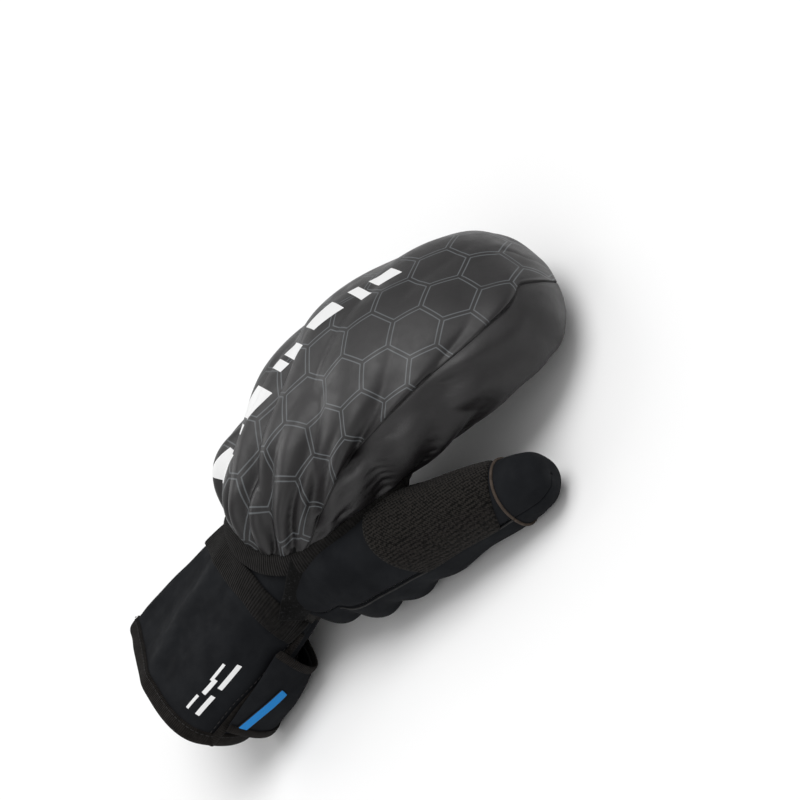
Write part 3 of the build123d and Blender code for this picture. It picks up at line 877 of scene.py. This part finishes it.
def along_spine(p):
    """Distance along the centreline, sideways place and lift of free points."""
    flat = p.reshape(-1, 3)
    coarse = slice(0, len(_s), 4)
    d = (flat[:, None, 1] - _y[None, coarse]) ** 2 + (flat[:, None, 2] - _z[None, coarse]) ** 2
    s = _s[coarse][np.argmin(d, axis=1)]
    for _ in range(2):
        h = np.interp(s, _s, _heading)
        dy, dz = flat[:, 1] - np.interp(s, _s, _y), flat[:, 2] - np.interp(s, _s, _z)
        s = s + dy * np.cos(h) + dz * np.sin(h)
    h = np.interp(s, _s, _heading)
    dy, dz = flat[:, 1] - np.interp(s, _s, _y), flat[:, 2] - np.interp(s, _s, _z)
    lift = dz * np.cos(h) - dy * np.sin(h)
    return s.reshape(p.shape[:-1]), (flat[:, 0] - MID_X).reshape(p.shape[:-1]), lift.reshape(p.shape[:-1])


def clear_of_hand(p, gap):
    """Moves points that are too close to the hand out to this gap over it."""
    s, x, lift = along_spine(p)
    w, a, b = smooth_table(np.clip(s, -18, 262), CLEAR_ROWS)
    high = np.where(lift > 0, a, b) + gap
    far = (np.abs(x / (w + gap)) ** FULLNESS + np.abs(lift / high) ** FULLNESS) ** (1 / FULLNESS)
    k = np.where((far < 1) & (s < 262), 1 / np.maximum(far, 0.2), 1.0)
    return np.where((k > 1)[..., None], place(s, x * k, lift * k), p)


def clear_of_thumb(p, gap):
    side, up = thumb_axes()
    way = THUMB_WAY / np.linalg.norm(THUMB_WAY)
    d = p - THUMB_ROOT
    s, x, lift = d @ way, d @ side, d @ up
    w, a, _ = smooth_table(np.clip(s, -44, 118), THUMB_ROWS)
    far = (np.abs(x / (w + gap)) ** 2.15 + np.abs(lift / (a + gap)) ** 2.15) ** (1 / 2.15)
    near = np.clip((s + 30) / 25, 0, 1) * np.clip((70 - s) / 20, 0, 1)
    k = np.where(far < 1, 1 + (1 / np.maximum(far, 0.35) - 1) * near, 1.0)
    return THUMB_ROOT + s[..., None] * way + (x * k)[..., None] * side + (lift * k)[..., None] * up


GUSSET_COLS, BACK_COLS, PALM_COLS, HOOD_LENGTH_ROWS = 16, 84, 50, 110
SEAM_THUMB_LIFT, SEAM_LITTLE_LIFT, SEAM_PALM_LIFT = 23, 18, 11


def hood_angles(s):
    """Column angles of the hood at distances s, with the seams on fixed columns."""
    _, a, b = smooth_table(s, HOOD_ROWS)
    over = np.arcsin(np.clip((SEAM_THUMB_LIFT / a) ** (FULLNESS / 2), 0, 0.93))
    over_little = np.arcsin(np.clip((SEAM_LITTLE_LIFT / a) ** (FULLNESS / 2), 0, 0.9))
    under = np.arcsin(np.clip((SEAM_PALM_LIFT / b) ** (FULLNESS / 2), 0, 0.9))
    knots = [-under, over, np.pi - over_little, np.pi + under, 2 * np.pi - under]
    parts = []
    for k, cols in enumerate((GUSSET_COLS, BACK_COLS, GUSSET_COLS, PALM_COLS)):
        t = np.linspace(0, 1, cols, endpoint=False)
        parts.append(knots[k][..., None] * (1 - t) + knots[k + 1][..., None] * t)
    return np.concatenate(parts, axis=-1)


def hood_rest():
    """The hood's smooth shape: rows from hem to tip, columns around."""
    t = np.linspace(0, 1, HOOD_LENGTH_ROWS) ** 1.15
    mean = 120 + (HOOD_END - 120) * t
    theta = hood_angles(mean)
    for _ in range(3):
        start = hem_place(theta[0]) + 3
        s = start[None] + (HOOD_END - start[None]) * t[:, None]
        theta = np.stack([hood_angles(s[:, j])[:, j] for j in range(s.shape[1])], axis=1)
    return hood_surface(s, theta), s, theta


def hem_row(theta):
    """The hem where it grips the glove: round the hand, and straight across over the thumb's crotch."""
    turn = (np.degrees(theta) + 90) % 360 - 90
    p = hand_point(hem_place(theta), theta, 2.2 + 5.0 * np.exp(-(((turn - 18) / 26) ** 2)))
    for _ in range(3):
        p = clear_of_thumb(p, 2.0)
        p = clear_of_hand(p, 2.0)
        p = 0.25 * np.roll(p, 1, axis=0) + 0.5 * p + 0.25 * np.roll(p, -1, axis=0)
    return clear_of_hand(clear_of_thumb(p, 2.0), 1.8)


def simulate(p, rest, pin, frames, pressure, cap):
    """Lets the cloth of a closed-round grid settle, and gives its points back."""
    rows, cols = p.shape[:2]
    verts = np.concatenate([p.reshape(-1, 3), p[-1].mean(axis=0)[None]])
    flat = np.concatenate([rest.reshape(-1, 3), rest[-1].mean(axis=0)[None]])
    faces = grid_faces(rows, cols, True)
    tip = rows * cols
    faces += [((rows - 1) * cols + j, (rows - 1) * cols + (j + 1) % cols, tip) for j in range(cols)]
    ob = new_object("cloth_in_work", verts, faces)
    ob.shape_key_add(name="Basis")
    key = ob.shape_key_add(name="cut")
    key.data.foreach_set("co", (flat * MM).ravel())
    key.value = 0.0
    group = ob.vertex_groups.new(name="pin")
    for index, weight in enumerate(np.append(pin.ravel(), 0.0)):
        if weight > 0:
            group.add([index], float(weight), "REPLACE")
    modifier = ob.modifiers.new("Cloth", "CLOTH")
    cloth = modifier.settings
    cloth.quality = 5
    cloth.mass = 0.12
    cloth.tension_stiffness = cloth.compression_stiffness = 15
    cloth.shear_stiffness = 6
    cloth.bending_stiffness = 0.02
    cloth.use_pressure = True
    cloth.uniform_pressure_force = pressure
    cloth.vertex_group_mass = "pin"
    cloth.pin_stiffness = 1.0
    cloth.rest_shape_key = key
    cloth.effector_weights.gravity = 0.0
    modifier.collision_settings.use_collision = False
    scene = bpy.context.scene
    for frame_number in range(1, frames + 1):
        scene.frame_set(frame_number)
    graph = bpy.context.evaluated_depsgraph_get()
    mesh = ob.evaluated_get(graph).to_mesh()
    out = np.empty(len(mesh.vertices) * 3)
    mesh.vertices.foreach_get("co", out)
    scene.frame_set(1)
    bpy.data.objects.remove(ob)
    moved = out.reshape(-1, 3)[:-1].reshape(p.shape) / MM - p
    size = np.linalg.norm(moved, axis=-1, keepdims=True)
    return p + moved * np.minimum(1, cap / np.maximum(size, 1e-6))


def slow_noise(h, total, waves, seed):
    """An uneven wave round a closed line, about 0, with the same value at both ends."""
    rng = np.random.default_rng(seed)
    out = np.zeros_like(h)
    for k in waves:
        out += rng.uniform(0.5, 1.0) * np.sin(2 * np.pi * k * h / total + rng.uniform(0, 6.28))
    return out / len(waves) ** 0.5


def pleats(h, d, total, count, seed, bend, wander):
    """Round ridges with sharp valleys that leave the hem and curve as they go, from 0 to 1."""
    shift = bend * d + wander * slow_noise(h, total, (2, 3, 5), seed)
    phase = np.pi * count * (h + shift) / total
    return np.abs(np.cos(phase + 0.5 * slow_noise(h, total, (7, 11), seed + 1)))


def gathered_hood():
    """The hood as it is worn: drawn in at the hem, full over the knuckles, puckered at its seams."""
    rest, s, theta = hood_rest()
    rows, cols = rest.shape[:2]
    centre = np.stack([place(v, HOOD_LEAN * 0.5, 0) for v in s.ravel()]).reshape(rest.shape)
    step = np.linalg.norm(np.diff(rest, axis=0), axis=-1)
    d = np.concatenate([np.zeros((1, cols)), np.cumsum(step, axis=0)])
    hem = hem_row(theta[0])
    turn = (np.degrees(theta) + 90) % 360 - 90
    reach = 11.0 + 15.0 * np.exp(-(((turn - 12) / 34) ** 2))
    draw = np.exp(-((d / reach) ** 1.5))[..., None]
    p = rest + (hem[None] - rest[:1]) * draw
    n = unit(p - centre)
    run = np.linalg.norm(np.roll(hem, -1, axis=0) - hem, axis=1)
    total = run.sum()
    h = np.concatenate([[0], np.cumsum(run)[:-1]])[None] + 0 * d
    back = np.clip(np.sin(theta) + 0.35, 0, 1)
    loud = 0.55 + 0.45 * back
    rise = d / 9 * np.exp(1 - d / 9)
    slow = d / 19 * np.exp(1 - d / 19)
    swell = 1.6 * d / 14 * np.exp(1 - d / 14) * back
    middle = (3.0 * rise + 5.5 * slow) * (pleats(h, d, total, 21, 11, -0.45, 5) - 0.5) * loud
    wide = 7.0 * d / 36 * np.exp(1 - d / 36) * (pleats(h, d, total, 9, 21, -0.7, 9) - 0.5) * loud
    fine = 1.1 * np.exp(-((d / 6.0) ** 1.5)) * pleats(h, d, total, 74, 31, 0.1, 2) * (d > 0.01)
    body = 1.2 * np.sin(d * 0.065 + 2.5 * slow_noise(h, total, (1, 2, 4), 41)) * np.clip(d / 60, 0, 1)
    far = np.clip((HOOD_END - s) / 40, 0, 1)
    p = p + n * (swell + body * far)[..., None]
    overhang = 3.0 * rise * np.clip(np.sin(theta - 0.5), 0, 1) ** 2
    p = p - np.array([0, 1, 0]) * overhang[..., None]
    seams = [0, GUSSET_COLS, GUSSET_COLS + BACK_COLS, 2 * GUSSET_COLS + BACK_COLS]
    pin = np.zeros((rows, cols))
    pin[:2] = 1.0
    for column in seams:
        p[2:, column] -= n[2:, column] * 0.9
        pin[2:, column] = 0.5
    pin[-3:] = 0.6
    cut = centre + (p - centre) * 1.06
    p = simulate(p, cut, pin, 22, 0.5, 7.0)
    p = p + n * (middle + wide + fine - 0.6 * rise)[..., None]
    for _ in range(2):
        p = clear_of_hand(clear_of_thumb(p, 1.6), 1.6)
    return p, hem, seams


def flatten(ob, rows, cols):
    """Gives a grid piece a low-stretch flat layout in millimetres, v along its middle column."""
    for other in bpy.context.selected_objects:
        other.select_set(False)
    ob.select_set(True)
    bpy.context.view_layer.objects.active = ob
    bpy.ops.object.mode_set(mode="EDIT")
    bpy.ops.mesh.select_all(action="SELECT")
    bpy.ops.uv.unwrap(method="ANGLE_BASED", margin=0.0)
    bpy.ops.object.mode_set(mode="OBJECT")
    mesh = ob.data
    uv = np.empty(len(mesh.loops) * 2)
    mesh.uv_layers.active.data.foreach_get("uv", uv)
    uv = uv.reshape(-1, 2)
    index = np.empty(len(mesh.loops), int)
    mesh.loops.foreach_get("vertex_index", index)
    by_vertex = np.zeros((len(mesh.vertices), 2))
    by_vertex[index] = uv
    co = np.empty(len(mesh.vertices) * 3)
    mesh.vertices.foreach_get("co", co)
    co = co.reshape(rows, cols, 3) / MM
    grid = by_vertex.reshape(rows, cols, 2)
    real = np.linalg.norm(np.diff(co, axis=0), axis=-1).sum()
    laid = np.linalg.norm(np.diff(grid, axis=0), axis=-1).sum()
    start, end = grid[0, cols // 2], grid[int(rows * 0.8), cols // 2]
    up = (end - start) / np.linalg.norm(end - start)
    right = np.array([up[1], -up[0]])
    flipped = (grid[rows // 2, 0] - start) @ right < 0
    right = -right if flipped else right
    scaled = (by_vertex - start) * real / laid
    out = np.stack([scaled @ right, scaled @ up], axis=-1)
    mesh.uv_layers.active.data.foreach_set("uv", out[index].ravel())


def make_hood():
    pieces = []
    p, hem, seams = gathered_hood()
    cols = p.shape[1]
    tip = p[-1].mean(axis=0)
    p = np.concatenate([p, 0.5 * (p[-1:] + tip), 0.1 * p[-1:] + 0.9 * tip])
    uv = arc_uv(np.concatenate([p, p[:, :1]], axis=1))
    ends = {
        "hood_gusset_thumb": (0, GUSSET_COLS, NYLON, "hood_gusset"),
        "hood_back_cloth": (seams[1], seams[2], PRINT, "hood_back_panel"),
        "hood_gusset_little": (seams[2], seams[3], NYLON, "hood_gusset"),
        "hood_palm_cloth": (seams[3], cols, NYLON, "hood_palm_panel"),
    }
    for name, (first, last, material, node) in ends.items():
        index = np.arange(first, last + 1)
        flat = uv[:, index]
        ob = panel(name, p[:, index % cols], material, 0.5, uv=flat, roll=0.0, laid=name == "hood_back_cloth")
        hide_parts(node)
        pieces.append(ob)
    wrapped = np.concatenate([p[:, -2:], p, p[:, :2]], axis=1)
    n = grid_normals(wrapped)[:, 2:-2]
    if np.sum(n * (p - p.mean(axis=(0, 1)))) < 0:
        n = -n
    for k, column in enumerate(seams):
        q, m = p[1:-3, column], n[1:-3, column]
        pieces.append(ribbon(f"hood_seam_{k + 1}", q - m * 0.1, m, round_profile(0.5, 0.8), THREAD))
    s, x, lift = along_spine(hem)
    out = unit(hem - place(s, x * 0.35, lift * 0.1))
    run = unit(np.roll(hem, -1, axis=0) - np.roll(hem, 1, axis=0))
    back = unit(np.cross(run, out))
    back = np.where((back[:, 1] > 0)[:, None], -back, back)
    band = ribbon("hood_hem_band", hem + back * 4.0, out, flat_profile(10.5, 1.8, 0.15), ELASTIC, closed=True)
    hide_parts("hood_hem_elastic")
    pieces.append(band)
    return pieces


# ---- assemble ----
glove = make_sleeve() + make_binding() + make_trims() + make_thumb() + make_fingers()
tab = make_tab()
hood = make_hood()
for ob in glove:
    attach(ob, "glove")
for ob in tab:
    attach(ob, "wrist_tab")
for ob in hood:
    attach(ob, "hood")
    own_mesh(ob)
for ob in glove + tab + hood:
    name = ob.name
    if "tape" in name or "stitches" in name or "seam" in name:
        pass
    elif name.startswith("hood"):
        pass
    elif name.endswith("palm_cloth") and "thumb" not in name and "cuff" not in name:
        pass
    else:
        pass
for name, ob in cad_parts.items():
    if name.startswith("insulation"):
        material = WADDING
    elif name.startswith("lining"):
        material = LINING
    elif name in ("tab_hook_patch", "cuff_loop_patch"):
        material = VELOUR
    elif name == "wrist_elastic":
        material = ELASTIC
    else:
        continue
    ob.data.materials.clear()
    ob.data.materials.append(material)


# ---- studio ----
def make_camera():
    """Looks from the thumb side, a little from the fingertips, and rolled so that the cuff is low left."""
    toward = unit(np.array([0.80, 0.30, 0.50]))
    flat_y = unit(np.array([0, 1, 0]) - toward[1] * toward)
    other = np.cross(toward, flat_y)
    roll = math.radians(51)
    right = math.cos(roll) * flat_y - math.sin(roll) * other
    up = math.sin(roll) * flat_y + math.cos(roll) * other
    scale = 2.12
    aim = np.array([MID_X, 150 + Y0, 40 + Z0 - 25]) + right * 55 / scale + up * 37 / scale
    eye = (aim + toward * 1500) * MM
    data = bpy.data.cameras.new("camera")
    data.sensor_width = 36
    data.lens = scale * 1500 * 36 / 800
    camera = bpy.data.objects.new("camera", data)
    bpy.context.collection.objects.link(camera)
    basis = np.eye(4)
    basis[:3, 0], basis[:3, 1], basis[:3, 2], basis[:3, 3] = right, up, toward, eye
    camera.matrix_world = Matrix(basis.tolist())
    bpy.context.scene.camera = camera


def make_studio():
    floor = new_object("floor", [(-3000, -3000, 0), (3000, -3000, 0), (3000, 3000, 0), (-3000, 3000, 0)], [(0, 1, 2, 3)])
    m = Nodes("paper", 0.9, specular=0.1)
    m.colour(m.mix(m.noise(3), (0.90, 0.90, 0.90), (0.93, 0.93, 0.93)))
    floor.data.materials.append(m.material)
    world = bpy.data.worlds.new("world")
    world.use_nodes = True
    world.node_tree.nodes["Background"].inputs[0].default_value = (1, 1, 1, 1)
    world.node_tree.nodes["Background"].inputs[1].default_value = 0.5
    bpy.context.scene.world = world
    for name, way, strength, angle in (
        ("key", (-0.15, 0.25, 0.95), 1.6, 50), ("side", (0.80, -0.30, 0.50), 0.45, 50),
        ("rim", (-0.70, -0.45, 0.55), 0.45, 30),
    ):
        light = bpy.data.lights.new(name, "SUN")
        light.energy = strength
        light.angle = math.radians(angle)
        lamp = bpy.data.objects.new(name, light)
        bpy.context.collection.objects.link(lamp)
        lamp.rotation_euler = Vector(way).to_track_quat("Z", "Y").to_euler()


make_camera()
make_studio()
bpy.context.scene.view_settings.view_transform = "Standard"
